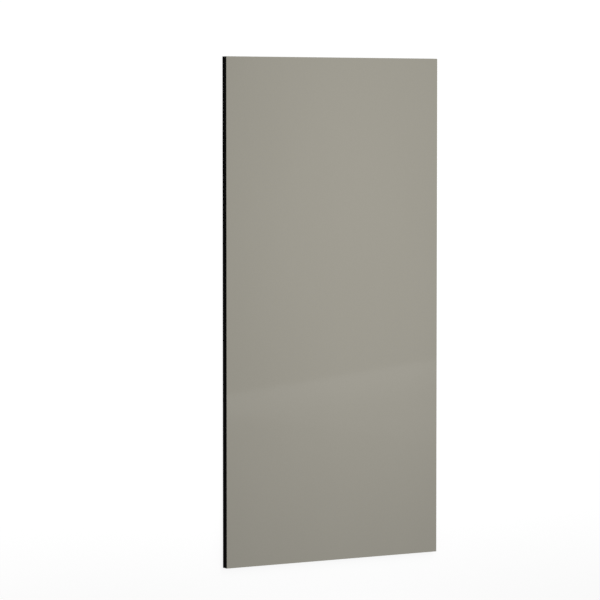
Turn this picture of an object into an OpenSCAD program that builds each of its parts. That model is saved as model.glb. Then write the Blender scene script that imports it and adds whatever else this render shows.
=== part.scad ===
// Full 4 ft by 8 ft decorative laminate sheet: a solid black core of kraft paper
// and resin, pressed in one piece with a plain decor paper on its upper face.
// The sheet lies on its sanded back, its length along Y, with the origin at the
// middle of the back and the decor face up.

/* [Sheet] */
// Length of the sheet, 8 ft
sheet_length = 2438.4; // [300:0.1:3660]
// Width of the sheet, 4 ft
sheet_width = 1219.2; // [150:0.1:1860]

/* [Section] */
// Thickness of the pressed black core
core_thickness = 35.75; // [2:0.05:40]
// Thickness of the decor paper with its clear overlay
decor_thickness = 0.25; // [0.1:0.05:0.8]

/* [Edges] */
// Radius of the four trimmed corners, seen from above
corner_radius = 1.5; // [1:0.1:30]
// Bevel that eases the edge of the decor face, across each leg
face_bevel = 0.5; // [0.1:0.05:0.9]
// Bevel that eases the edge of the sanded back, across each leg
back_bevel = 0.8; // [0.1:0.05:0.9]

/* [Hidden] */
$fn = 96;
core_colour = "#161514";
decor_colour = "#9d9a90";
sheet_thickness = core_thickness + decor_thickness;
face_bevel_start = sheet_thickness - face_bevel;

// How far the sheet's side stands back from its full size at height z
function set_back(z) = max(0, back_bevel - z, z - face_bevel_start);

// Heights between bottom and top at which the side changes slope
function side_heights(bottom, top) = [
    bottom,
    for (z = [back_bevel, face_bevel_start]) if (z > bottom && z < top) z,
    top
];

// Section across a layer, from its side inwards past the start of the corner by a reach
function layer_section(reach, bottom, top) = [
    [-reach, bottom],
    for (z = side_heights(bottom, top)) [corner_radius - set_back(z), z],
    [-reach, top]
];

// Quarter of a layer: its flat middle with the long side, the short side, and the corner between them
module layer_quarter(bottom, top) {
    corner_x = sheet_width / 2 - corner_radius;
    corner_y = sheet_length / 2 - corner_radius;
    translate([corner_x, corner_y, 0]) {
        rotate([90, 0, 0])
            linear_extrude(corner_y) polygon(layer_section(corner_x, bottom, top));
        mirror([1, 0, 0]) rotate([90, 0, 90])
            linear_extrude(corner_x) polygon(layer_section(0, bottom, top));
        rotate_extrude(angle = 90) polygon(layer_section(0, bottom, top));
    }
}

// One pressed layer of the sheet between two heights
module pressed_layer(bottom, top) {
    union()
        for (side = [0, 1], end = [0, 1])
            mirror([side, 0, 0]) mirror([0, end, 0]) layer_quarter(bottom, top);
}

// Core and decor face, pressed under heat into one solid
module laminate_sheet() {
    union() {
        color(core_colour) pressed_layer(0, core_thickness);
        color(decor_colour) pressed_layer(core_thickness, sheet_thickness);
    }
}

laminate_sheet();
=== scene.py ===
"""Dresses a full 4 ft by 8 ft decorative laminate sheet and sets it in a plain studio.

The sheet lies on its sanded back with its decor face up and its length along Y.
All sizes are in metres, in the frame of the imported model.
"""

import math
from typing import NamedTuple

import bmesh
import bpy
from mathutils import Matrix, Vector


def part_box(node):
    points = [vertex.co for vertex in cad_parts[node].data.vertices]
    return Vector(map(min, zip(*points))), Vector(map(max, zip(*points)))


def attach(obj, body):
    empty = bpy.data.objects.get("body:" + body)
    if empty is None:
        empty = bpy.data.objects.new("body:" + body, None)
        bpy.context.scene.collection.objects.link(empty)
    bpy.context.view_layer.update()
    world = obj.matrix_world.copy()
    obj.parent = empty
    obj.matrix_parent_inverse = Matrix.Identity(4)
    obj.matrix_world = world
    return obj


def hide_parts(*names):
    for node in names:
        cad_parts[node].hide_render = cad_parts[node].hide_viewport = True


bl_info = {
    "name": "Decorative Laminate Sheet",
    "version": (1, 0, 0),
    "blender": (4, 5, 0),
    "location": "View3D > Sidebar > Laminate",
    "description": "Builds a black-core laminate sheet with its finishes, and the studio it is shown in",
    "category": "Object",
}

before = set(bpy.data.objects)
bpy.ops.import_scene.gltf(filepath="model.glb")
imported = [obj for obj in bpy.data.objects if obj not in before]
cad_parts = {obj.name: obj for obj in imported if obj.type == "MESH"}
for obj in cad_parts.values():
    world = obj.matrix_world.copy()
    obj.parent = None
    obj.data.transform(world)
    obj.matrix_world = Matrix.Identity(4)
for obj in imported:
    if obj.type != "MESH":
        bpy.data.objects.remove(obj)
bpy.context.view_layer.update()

SHEET_NODE = "laminate_sheet"
SHEET_LOW, SHEET_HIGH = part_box(SHEET_NODE)
SHEET_SIZE = SHEET_HIGH - SHEET_LOW
SHEET_MIDDLE = (SHEET_LOW + SHEET_HIGH) / 2
FACE_HEIGHT = SHEET_HIGH.z

# Places in the sheet's list of materials
DECOR, CORE, BACK = range(3)

BLACK = (0.0, 0.0, 0.0, 1.0)
WHITE = (1.0, 1.0, 1.0, 1.0)

# Sockets of a Mix node that mixes colours
MIX_FACTOR, MIX_FIRST, MIX_SECOND, MIX_COLOUR = 0, 6, 7, 2

# Smallest height that counts as a difference between two points of the section
HAIR = 1e-6

# Flat faces that make up each rounded corner and arris
CORNER_SEGMENTS = 6
ARRIS_SEGMENTS = 3

# Half of a shape that starts one metre wide
HALF = 0.5

# Width of the camera's sensor in millimetres, and how far it sees in metres
SENSOR_WIDTH = 36.0
SIGHT = 500.0

# Where the corners of the mirrored panel show in the face, near ones first, left before right
PANEL_SEEN = ((-0.75, -0.402), (0.75, -0.251), (-0.75, -1.6), (0.75, -1.6))
PANEL_SEGMENTS = 12

# How many times as wide as its opening the floor is, how far it laps under the sheet, and how far below
# the sheet it lies
FLOOR_SPREAD = 150.0
FLOOR_LAP = 0.004
FLOOR_DROP = 0.0002

# The patch of painted shade on the floor before the foot of the sheet, where the floor is less white: its
# middle, its reach, and the share of that reach within which it is even
SHADE_PATCH_MIDDLE = (-0.1, -2.0, 0.0)
SHADE_PATCH_REACH = (4.6, 1.4, 1.0)
SHADE_PATCH_EVEN = 0.4


# Patterns of the finishes


class Grain(NamedTuple):
    """A pattern of noise: how fine it is, and what it does to the finish."""

    across: float  # features to a metre across the sheet
    along: float  # features to a metre along it
    through: float  # features to a metre through its thickness
    layers: float = 2.0  # finer layers of noise on top of the first
    turn: float = 0.0  # turn about the upright, in radians
    tone: float = 0.0  # share that it has in the change of colour
    dulling: float = 0.0  # how much it changes the roughness
    depth: float = 0.0  # depth of its relief in metres


# Value that a pattern of noise swings about
NOISE_MIDDLE = 0.5

# Decor paper and the surface of its overlay
PULP = Grain(240, 240, 240, layers=3, tone=0.7)
CLOUD = Grain(3.1, 1.7, 3.1, layers=3, tone=0.3)
WIPES = Grain(9, 1.2, 9, turn=math.radians(12), dulling=0.03)
PORES = Grain(420, 420, 420, layers=1, dulling=0.04)
PRESS_WAVE = Grain(1.6, 1.1, 1.6, layers=1, depth=0.0012)
ORANGE_PEEL = Grain(60, 60, 60, layers=1, depth=0.00003)
SUEDE = Grain(1100, 1100, 1100, layers=1, depth=0.000006)

# Trimmed edge of the core
PLIES = Grain(2.5, 2.5, 3600, tone=0.5, dulling=0.1, depth=0.000008)
PLY_BATCHES = Grain(1.5, 1.5, 420, layers=1, tone=0.25)
SAW_MARKS = Grain(520, 520, 18, tone=0.25, dulling=0.16, depth=0.00004)

# Sanded back
SCRATCHES = Grain(900, 5, 900, tone=0.4, dulling=0.12, depth=0.00001)
BELT_MARKS = Grain(70, 0.8, 70, tone=0.35, dulling=0.16, depth=0.00005)
HAZE = Grain(4, 2.5, 4, layers=3, tone=0.25)

# Values of the mixed patterns at which each finish has its deepest and its palest colour
DECOR_RANGE = (0.3, 0.7)
CORE_RANGE = (0.47, 0.67)
BACK_RANGE = (0.38, 0.66)


# Settings that a user would change


def length(name, description, default, low, high):
    """A length in metres that the sidebar shows."""
    return bpy.props.FloatProperty(
        name=name,
        description=description,
        default=default,
        min=low,
        max=high,
        precision=5,
        unit="LENGTH",
    )


def colour(name, description, default):
    """A linear colour that the sidebar shows."""
    return bpy.props.FloatVectorProperty(
        name=name, description=description, default=default, min=0, max=1, size=3, subtype="COLOR"
    )


def amount(name, description, default, high=1.0):
    """A plain number from 0 up."""
    return bpy.props.FloatProperty(name=name, description=description, default=default, min=0, max=high)


def angle(name, description, degrees):
    """An angle, given in degrees."""
    return bpy.props.FloatProperty(
        name=name, description=description, default=math.radians(degrees), subtype="ANGLE"
    )


class SheetSettings(bpy.types.PropertyGroup):
    """Section and finishes of the laminate sheet"""

    decor_thickness: length("Decor", "Decor paper with its clear overlay", 0.00025, 0.0001, 0.0008)
    face_arris: length("Face arris", "Round of the edge of the decor face", 0.0005, 0.0001, 0.0009)
    back_arris: length("Back arris", "Round of the edge of the sanded back", 0.0008, 0.0001, 0.0009)
    corner_radius: length("Corner", "Radius of the four trimmed corners", 0.0015, 0.001, 0.03)

    decor_light: colour("Decor, light", "Palest tone of the decor paper", (0.289, 0.275, 0.2305))
    decor_deep: colour("Decor, deep", "Deepest tone of the decor paper", (0.279, 0.265, 0.221))
    core_light: colour("Core, light", "Resin-rich lines of the trimmed edge", (0.0064, 0.006, 0.0056))
    core_deep: colour("Core, deep", "Kraft plies of the trimmed edge", (0.0007, 0.0007, 0.0007))
    back_light: colour("Back, light", "Dust in the scratches of the back", (0.046, 0.043, 0.039))
    back_deep: colour("Back, deep", "Sanded black back", (0.012, 0.0116, 0.011))

    decor_roughness: amount("Decor roughness", "Satin of the decor face", 0.15)
    core_roughness: amount("Edge roughness", "Dull polish of the trimmed edge", 0.5)
    back_roughness: amount("Back roughness", "Dullness of the sanded back", 0.62)
    core_shine: amount("Edge shine", "Specular level of the trimmed edge", 0.005)


class StudioSettings(bpy.types.PropertyGroup):
    """Camera, lamps and floor"""

    view_turn: angle("Turn", "Turn of the camera to the sheet's left", -32.788)
    view_dip: angle("Dip", "Tilt of the camera from the head of the sheet", -2.9855)
    view_distance: length("Distance", "From the camera to the middle of the face", 16.68949, 1, 100)
    view_right: length("Right", "How far the face's middle lies right of the view's", 0.16368, -1, 1)
    view_down: length("Down", "How far the face's middle lies below the view's", 0.04661, -1, 1)
    lens: amount("Lens", "Focal length in millimetres on a 36 mm sensor", 206.6, 1000)

    strip_power: amount("Strip light", "Power of the overhead strip in watts", 40.0, 1000)
    strip_height: length("Strip height", "Height of the strip above the face", 2.08, 0.5, 10)
    strip_width: length("Strip width", "Width of the strip", 0.4, 0.05, 5)
    strip_length: length("Strip length", "Length of the strip", 3.6, 0.05, 10)
    strip_x: length("Strip across", "Place of the strip across the sheet", 0.18, -5, 5)
    strip_y: length("Strip along", "Place of the strip along the sheet", 0.655, -5, 5)
    fill: amount("Fill", "Strength of the white room round the sheet", 0.494, 10)

    panel_height: length("Panel height", "Height of the panel that the satin face mirrors", 0.3, 0.1, 5)
    panel_glow: amount("Panel glow", "How much brighter than the room its near edge is", 0.05, 10)
    ridge_glow: amount("Ridge glow", "Extra brightness along its near edge", 0.26, 10)
    ridge_left: amount("Ridge, left", "Width of that ridge on the left, as a share of the panel", 0.18)
    ridge_right: amount("Ridge, right", "Width of that ridge on the right, as a share of the panel", 0.14)
    wedge_glow: amount("Wedge glow", "Extra brightness of the wedge behind the ridge", 0.1, 10)
    wedge_left: amount("Wedge, left", "Reach of that wedge on the left, as a share of the panel", 0.05)
    wedge_right: amount("Wedge, right", "Reach of that wedge on the right, as a share of the panel", 0.34)
    wedge_soft: amount("Wedge softness", "Width over which the wedge ends, as a share of the panel", 0.03)

    floor_colour: colour("Floor", "Plain white floor", (0.9, 0.9, 0.9))
    floor_lift: amount("Floor lift", "White that the camera sees added to the floor", 0.93)
    floor_shade: amount("Floor shade", "How much of the floor's own shading the camera sees", 0.15)
    # Painted shade: how much of the floor's white is taken away in the patch before the sheet's foot
    floor_painted_shade: amount("Floor fade", "Share of that white that the patch before the foot loses", 0.078)


# Shader nodes as expressions


class Socket:
    """A socket that can stand in a sum: each operation adds its Math node."""

    def __init__(self, nodes, link):
        self.nodes = nodes
        self.link = link

    def math(self, operation, first, second):
        """Adds the Math node of one operation."""
        return self.nodes.add("ShaderNodeMath", {"operation": operation}, {0: first, 1: second})

    def __add__(self, other):
        return self.math("ADD", self, other)

    def __mul__(self, other):
        return self.math("MULTIPLY", self, other)

    def __sub__(self, other):
        return self.math("SUBTRACT", self, other)

    def __rsub__(self, other):
        return self.math("SUBTRACT", other, self)

    __radd__ = __add__
    __rmul__ = __mul__


class Nodes:
    """The node tree of a material or world, emptied and filled by name."""

    def __init__(self, owner):
        owner.use_nodes = True
        self.tree = owner.node_tree
        self.tree.nodes.clear()

    def add(self, kind, settings=None, inputs=None, output=0):
        """Adds a node, sets it up, fills its inputs, and returns one of its outputs."""
        node = self.tree.nodes.new(kind)
        for name, value in (settings or {}).items():
            setattr(node, name, value)
        for name, value in (inputs or {}).items():
            if isinstance(value, Socket):
                self.tree.links.new(value.link, node.inputs[name])
            else:
                node.inputs[name].default_value = value
        return Socket(self, node.outputs[output]) if node.outputs else None

    def place(self):
        """Place on the object, in metres."""
        return self.add("ShaderNodeTexCoord", output="Object")

    def noise(self, grain):
        """The noise of a grain, from 0 to 1."""
        features = (grain.across, grain.along, grain.through)
        where = self.add(
            "ShaderNodeMapping",
            inputs={"Vector": self.place(), "Rotation": (0, 0, grain.turn), "Scale": features},
        )
        return self.add(
            "ShaderNodeTexNoise", inputs={"Vector": where, "Scale": 1.0, "Detail": grain.layers}
        )

    def contrast(self, value, low, high):
        """Spreads the values between low and high over 0 to 1."""
        return self.add(
            "ShaderNodeMapRange",
            {"interpolation_type": "SMOOTHSTEP"},
            {"Value": value, "From Min": low, "From Max": high},
        )

    def between(self, first, second, factor):
        """A colour between two colours."""
        return self.add(
            "ShaderNodeMix",
            {"data_type": "RGBA"},
            {MIX_FACTOR: factor, MIX_FIRST: first, MIX_SECOND: second},
            output=MIX_COLOUR,
        )

    def relief(self, height, depth, under=None):
        """Normal of a relief so many metres deep, laid over another one."""
        inputs = {"Height": height, "Distance": depth}
        if under is not None:
            inputs["Normal"] = under
        return self.add("ShaderNodeBump", inputs=inputs)

    def surface(self, shader):
        """Ends a material in its shader."""
        self.add("ShaderNodeOutputMaterial", inputs={"Surface": shader})


def swing(noise):
    """The noise about 0, so that it adds as much as it takes away."""
    return noise - NOISE_MIDDLE


def opaque(rgb):
    """A colour with its alpha."""
    return (*rgb, 1.0)


def new_material(name):
    """An empty material and its nodes."""
    material = bpy.data.materials.new(name)
    return material, Nodes(material)


# Finishes of the sheet


def decor_finish(settings):
    """Plain greige decor paper under a satin melamine overlay."""
    material, nodes = new_material("satin_decor")
    mixed = PULP.tone * nodes.noise(PULP) + CLOUD.tone * nodes.noise(CLOUD)
    tone = nodes.contrast(mixed, *DECOR_RANGE)
    colour = nodes.between(opaque(settings.decor_deep), opaque(settings.decor_light), tone)

    wipes = WIPES.dulling * swing(nodes.noise(WIPES))
    pores = PORES.dulling * swing(nodes.noise(PORES))
    roughness = settings.decor_roughness + wipes + pores

    wave = nodes.relief(nodes.noise(PRESS_WAVE), PRESS_WAVE.depth)
    peel = nodes.relief(nodes.noise(ORANGE_PEEL), ORANGE_PEEL.depth, wave)
    suede = nodes.relief(nodes.noise(SUEDE), SUEDE.depth, peel)

    nodes.surface(
        nodes.add(
            "ShaderNodeBsdfPrincipled",
            inputs={"Base Color": colour, "Roughness": roughness, "Normal": suede},
        )
    )
    return material


def core_finish(settings):
    """Trimmed edge of the black core: fine kraft plies with saw marks across them."""
    material, nodes = new_material("black_core_edge")
    plies = nodes.noise(PLIES)
    batches = nodes.noise(PLY_BATCHES)
    marks = nodes.noise(SAW_MARKS)
    mixed = PLIES.tone * plies + PLY_BATCHES.tone * batches + SAW_MARKS.tone * marks
    tone = nodes.contrast(mixed, *CORE_RANGE)
    colour = nodes.between(opaque(settings.core_deep), opaque(settings.core_light), tone)
    roughness = settings.core_roughness + SAW_MARKS.dulling * swing(marks) + PLIES.dulling * swing(plies)
    sawn = nodes.relief(marks, SAW_MARKS.depth)
    lined = nodes.relief(plies, PLIES.depth, sawn)
    nodes.surface(
        nodes.add(
            "ShaderNodeBsdfPrincipled",
            inputs={
                "Base Color": colour,
                "Roughness": roughness,
                "Specular IOR Level": settings.core_shine,
                "Normal": lined,
            },
        )
    )
    return material


def back_finish(settings):
    """Back of the black core, sanded along its length so that glue takes to it."""
    material, nodes = new_material("sanded_back")
    scratches = nodes.noise(SCRATCHES)
    belts = nodes.noise(BELT_MARKS)
    haze = nodes.noise(HAZE)
    mixed = SCRATCHES.tone * scratches + BELT_MARKS.tone * belts + HAZE.tone * haze
    tone = nodes.contrast(mixed, *BACK_RANGE)
    colour = nodes.between(opaque(settings.back_deep), opaque(settings.back_light), tone)
    dulled = BELT_MARKS.dulling * swing(belts) + SCRATCHES.dulling * swing(scratches)
    roughness = settings.back_roughness + dulled
    furrows = nodes.relief(belts, BELT_MARKS.depth)
    keyed = nodes.relief(scratches, SCRATCHES.depth, furrows)
    nodes.surface(
        nodes.add(
            "ShaderNodeBsdfPrincipled",
            inputs={"Base Color": colour, "Roughness": roughness, "Normal": keyed},
        )
    )
    return material


# Shape of the sheet


def edges_where(mesh, test):
    """The edges whose two ends both pass a test."""
    return [edge for edge in mesh.edges if all(test(vertex.co) for vertex in edge.verts)]


def rounded(mesh, edges, radius, segments):
    """Rounds a run of edges."""
    bmesh.ops.bevel(
        mesh,
        geom=edges,
        offset=radius,
        offset_type="OFFSET",
        affect="EDGES",
        segments=segments,
        profile=0.5,
        material=-1,
        clamp_overlap=True,
    )


def scored(mesh, height):
    """Runs an edge loop round the sheet at a height."""
    bmesh.ops.bisect_plane(
        mesh,
        geom=mesh.verts[:] + mesh.edges[:] + mesh.faces[:],
        plane_co=(0, 0, height),
        plane_no=(0, 0, 1),
    )


def finish_of(face, decor_base):
    """Which finish a face of the sheet has."""
    if face.calc_center_median().z > decor_base:
        return DECOR
    return BACK if face.normal.z < HAIR - 1 else CORE


def sheet_mesh(settings):
    """The sheet with its trimmed corners, its two arrises and the line of its decor paper."""
    mesh = bmesh.new()
    bmesh.ops.create_cube(mesh, size=1.0)
    bmesh.ops.scale(mesh, vec=SHEET_SIZE, verts=mesh.verts)
    bmesh.ops.translate(mesh, vec=SHEET_MIDDLE, verts=mesh.verts)

    upright = [edge for edge in mesh.edges if abs(edge.verts[0].co.z - edge.verts[1].co.z) > HAIR]
    rounded(mesh, upright, settings.corner_radius, CORNER_SEGMENTS)
    face_edges = edges_where(mesh, lambda co: co.z > SHEET_HIGH.z - HAIR)
    rounded(mesh, face_edges, settings.face_arris, ARRIS_SEGMENTS)
    back_edges = edges_where(mesh, lambda co: co.z < SHEET_LOW.z + HAIR)
    rounded(mesh, back_edges, settings.back_arris, ARRIS_SEGMENTS)

    decor_base = SHEET_HIGH.z - settings.decor_thickness
    scored(mesh, decor_base)
    bmesh.ops.recalc_face_normals(mesh, faces=mesh.faces)
    mesh.normal_update()
    for face in mesh.faces:
        face.material_index = finish_of(face, decor_base)
    return mesh


def new_object(name, mesh):
    """Links an object made of a finished bmesh."""
    data = bpy.data.meshes.new(name)
    mesh.to_mesh(data)
    mesh.free()
    made = bpy.data.objects.new(name, data)
    bpy.context.collection.objects.link(made)
    return made


# Studio


def camera_turn(studio):
    """Orientation of the camera over the lying sheet, with the head of the sheet up in the view."""
    return Matrix.Rotation(studio.view_turn, 4, "Y") @ Matrix.Rotation(studio.view_dip, 4, "X")


def camera_place(studio):
    """Place of the camera, from where the middle of the face lies in its view."""
    face_middle = Vector((SHEET_MIDDLE.x, SHEET_MIDDLE.y, FACE_HEIGHT))
    seen = Vector((studio.view_right, -studio.view_down, -studio.view_distance))
    return face_middle - camera_turn(studio) @ seen


def add_camera(studio):
    """The camera, at the photograph's angle."""
    data = bpy.data.cameras.new("camera")
    data.sensor_width = SENSOR_WIDTH
    data.lens = studio.lens
    data.clip_end = SIGHT
    camera = bpy.data.objects.new("camera", data)
    camera.matrix_world = Matrix.Translation(camera_place(studio)) @ camera_turn(studio)
    bpy.context.collection.objects.link(camera)
    bpy.context.scene.camera = camera


def mirrored(point, studio, height):
    """Where the camera's ray that meets the face at a point goes on to, at a height above the face."""
    ray = point - camera_place(studio)
    return point + Vector((ray.x, ray.y, -ray.z)) * (height / -ray.z)


def add_strip(studio):
    """The long soft lamp overhead."""
    data = bpy.data.lights.new("overhead_strip", "AREA")
    data.shape = "RECTANGLE"
    data.size = studio.strip_width
    data.size_y = studio.strip_length
    data.energy = studio.strip_power
    lamp = bpy.data.objects.new("overhead_strip", data)
    lamp.location = (studio.strip_x, studio.strip_y, FACE_HEIGHT + studio.strip_height)
    lamp.visible_glossy = False
    bpy.context.collection.objects.link(lamp)


def panel_mesh(studio):
    """The mirrored panel, set by where its corners show in the face."""
    corners = [mirrored(Vector((*seen, FACE_HEIGHT)), studio, studio.panel_height) for seen in PANEL_SEEN]
    near_left, near_right, far_left, far_right = corners
    mesh = bmesh.new()
    mesh.loops.layers.uv.new("across_and_away")
    bmesh.ops.create_grid(
        mesh, x_segments=PANEL_SEGMENTS, y_segments=PANEL_SEGMENTS, size=HALF, calc_uvs=True
    )
    for vertex in mesh.verts:
        across, away = vertex.co.x + HALF, vertex.co.y + HALF
        near = near_left.lerp(near_right, across)
        vertex.co = near.lerp(far_left.lerp(far_right, across), away)
    return mesh


def panel_finish(studio):
    """Glow of the mirrored panel, with a ridge and a wedge along its near edge."""
    material, nodes = new_material("mirrored_panel")
    spot = nodes.add("ShaderNodeTexCoord", output="UV")
    across = nodes.add("ShaderNodeSeparateXYZ", inputs={"Vector": spot}, output="X")
    away = nodes.add("ShaderNodeSeparateXYZ", inputs={"Vector": spot}, output="Y")
    ridge_reach = studio.ridge_left + (studio.ridge_right - studio.ridge_left) * across
    ridge = nodes.contrast(away, ridge_reach, 0)
    wedge_reach = studio.wedge_left + (studio.wedge_right - studio.wedge_left) * across
    soft = studio.wedge_soft / 2
    wedge = nodes.contrast(away, wedge_reach + soft, wedge_reach - soft)
    glow = 1 + studio.panel_glow * (1 - away) + studio.ridge_glow * ridge + studio.wedge_glow * wedge
    brightest = 1 + studio.panel_glow + studio.ridge_glow + studio.wedge_glow
    tone = nodes.between(BLACK, WHITE, glow * (1 / brightest))
    nodes.surface(nodes.add("ShaderNodeEmission", inputs={"Color": tone, "Strength": brightest}))
    return material


def add_panel(studio):
    """The pale panel, which nothing but the satin face shows."""
    panel = new_object("mirrored_panel", panel_mesh(studio))
    panel.visible_camera = False
    panel.visible_diffuse = False
    panel.visible_shadow = False
    panel.visible_transmission = False
    panel.data.materials.append(panel_finish(studio))


def backdrop_rays(nodes):
    """1 for rays that should see the white background, 0 for those that carry light."""
    paths = ["Is Camera Ray", "Is Glossy Ray", "Is Transmission Ray"]
    camera, glossy, transmission = (nodes.add("ShaderNodeLightPath", output=path) for path in paths)
    return nodes.add(
        "ShaderNodeMath", {"operation": "ADD", "use_clamp": True}, {0: camera + glossy, 1: transmission}
    )


def add_world(studio):
    """A white room, plainly lit."""
    world = bpy.data.worlds.new("white_room")
    bpy.context.scene.world = world
    nodes = Nodes(world)
    strength = studio.fill + (1 - studio.fill) * backdrop_rays(nodes)
    room = nodes.add("ShaderNodeBackground", inputs={"Color": WHITE, "Strength": strength})
    nodes.add("ShaderNodeOutputWorld", inputs={"Surface": room})


def floor_finish(studio):
    """White floor that keeps the sheet's shadow, with a patch of painted shade before the sheet's foot,
    clear from below.
    """
    material, nodes = new_material("white_floor")
    backdrop = backdrop_rays(nodes)
    shade = nodes.add("ShaderNodeBsdfDiffuse", inputs={"Color": opaque(studio.floor_colour)})
    none = nodes.add("ShaderNodeBsdfTransparent", inputs={"Color": BLACK})
    seen_shade = nodes.add(
        "ShaderNodeMixShader", inputs={0: backdrop * (1 - studio.floor_shade), 1: shade, 2: none}
    )
    spot = nodes.place()
    offset = nodes.add("ShaderNodeVectorMath", {"operation": "SUBTRACT"}, {0: spot, 1: SHADE_PATCH_MIDDLE})
    shares = nodes.add("ShaderNodeVectorMath", {"operation": "DIVIDE"}, {0: offset, 1: SHADE_PATCH_REACH})
    away = nodes.add("ShaderNodeVectorMath", {"operation": "LENGTH"}, {0: shares}, output="Value")
    # Painted shade: the floor's white is turned down in a soft patch before the sheet's foot
    white = studio.floor_lift * (1 - studio.floor_painted_shade * nodes.contrast(away, 1, SHADE_PATCH_EVEN))
    seen_white = nodes.between(BLACK, WHITE, backdrop * white)
    lift = nodes.add("ShaderNodeEmission", inputs={"Color": seen_white, "Strength": 1.0})
    top = nodes.add("ShaderNodeAddShader", inputs={0: seen_shade, 1: lift})
    under = nodes.add("ShaderNodeNewGeometry", output="Backfacing")
    clear = nodes.add("ShaderNodeBsdfTransparent")
    nodes.surface(nodes.add("ShaderNodeMixShader", inputs={0: under, 1: top, 2: clear}))
    return material


def floor_mesh():
    """A wide floor, open just inside the sheet's outline, so that the back can be seen from below."""
    mesh = bmesh.new()
    bmesh.ops.create_grid(mesh, x_segments=1, y_segments=1, size=HALF)
    opening = Vector((SHEET_SIZE.x - 2 * FLOOR_LAP, SHEET_SIZE.y - 2 * FLOOR_LAP, 1))
    bmesh.ops.scale(mesh, vec=opening, verts=mesh.verts)
    bmesh.ops.delete(mesh, geom=mesh.faces[:], context="FACES_ONLY")
    ring = bmesh.ops.extrude_edge_only(mesh, edges=mesh.edges[:])
    rim = [item for item in ring["geom"] if isinstance(item, bmesh.types.BMVert)]
    bmesh.ops.scale(mesh, vec=(FLOOR_SPREAD, FLOOR_SPREAD, 1), verts=rim)
    under_sheet = (SHEET_MIDDLE.x, SHEET_MIDDLE.y, SHEET_LOW.z - FLOOR_DROP)
    bmesh.ops.translate(mesh, vec=under_sheet, verts=mesh.verts)
    bmesh.ops.recalc_face_normals(mesh, faces=mesh.faces)
    mesh.normal_update()
    downward = [face for face in mesh.faces if face.normal.z < 0]
    bmesh.ops.reverse_faces(mesh, faces=downward)
    return mesh


def add_floor(studio):
    """The white floor."""
    floor = new_object("white_floor", floor_mesh())
    floor.data.materials.append(floor_finish(studio))


# Operators


class BuildSheet(bpy.types.Operator):
    """Builds the laminate sheet with its decor face, trimmed edge and sanded back"""

    bl_idname = "laminate.build_sheet"
    bl_label = "Build the sheet"
    bl_options = {"REGISTER", "UNDO"}

    def execute(self, context):
        settings = context.scene.laminate_sheet
        sheet = new_object("decor_laminate", sheet_mesh(settings))
        finishes = {DECOR: decor_finish, CORE: core_finish, BACK: back_finish}
        for place in sorted(finishes):
            sheet.data.materials.append(finishes[place](settings))
        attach(sheet, "root")
        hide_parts(SHEET_NODE)
        return {"FINISHED"}


class SetStudio(bpy.types.Operator):
    """Sets up the camera, the lamps, the white room and the floor"""

    bl_idname = "laminate.set_studio"
    bl_label = "Set up the studio"
    bl_options = {"REGISTER", "UNDO"}

    def execute(self, context):
        studio = context.scene.laminate_studio
        add_camera(studio)
        add_world(studio)
        add_floor(studio)
        add_strip(studio)
        add_panel(studio)
        context.scene.view_settings.view_transform = "Standard"
        return {"FINISHED"}


class LaminatePanel(bpy.types.Panel):
    """Lists the settings and what can be built"""

    bl_idname = "VIEW3D_PT_laminate"
    bl_label = "Laminate sheet"
    bl_space_type = "VIEW_3D"
    bl_region_type = "UI"
    bl_category = "Laminate"

    def draw(self, context):
        groups = (
            (context.scene.laminate_sheet, BuildSheet),
            (context.scene.laminate_studio, SetStudio),
        )
        for settings, operator in groups:
            box = self.layout.box()
            for name in settings.__annotations__:
                box.prop(settings, name)
            box.operator(operator.bl_idname)


CLASSES = (SheetSettings, StudioSettings, BuildSheet, SetStudio, LaminatePanel)


def register():
    for cls in CLASSES:
        bpy.utils.register_class(cls)
    bpy.types.Scene.laminate_sheet = bpy.props.PointerProperty(type=SheetSettings)
    bpy.types.Scene.laminate_studio = bpy.props.PointerProperty(type=StudioSettings)


def unregister():
    del bpy.types.Scene.laminate_studio
    del bpy.types.Scene.laminate_sheet
    for cls in reversed(CLASSES):
        bpy.utils.unregister_class(cls)


def main():
    """Builds everything."""
    register()
    bpy.ops.laminate.build_sheet()
    bpy.ops.laminate.set_studio()


if __name__ == "__main__":
    main()
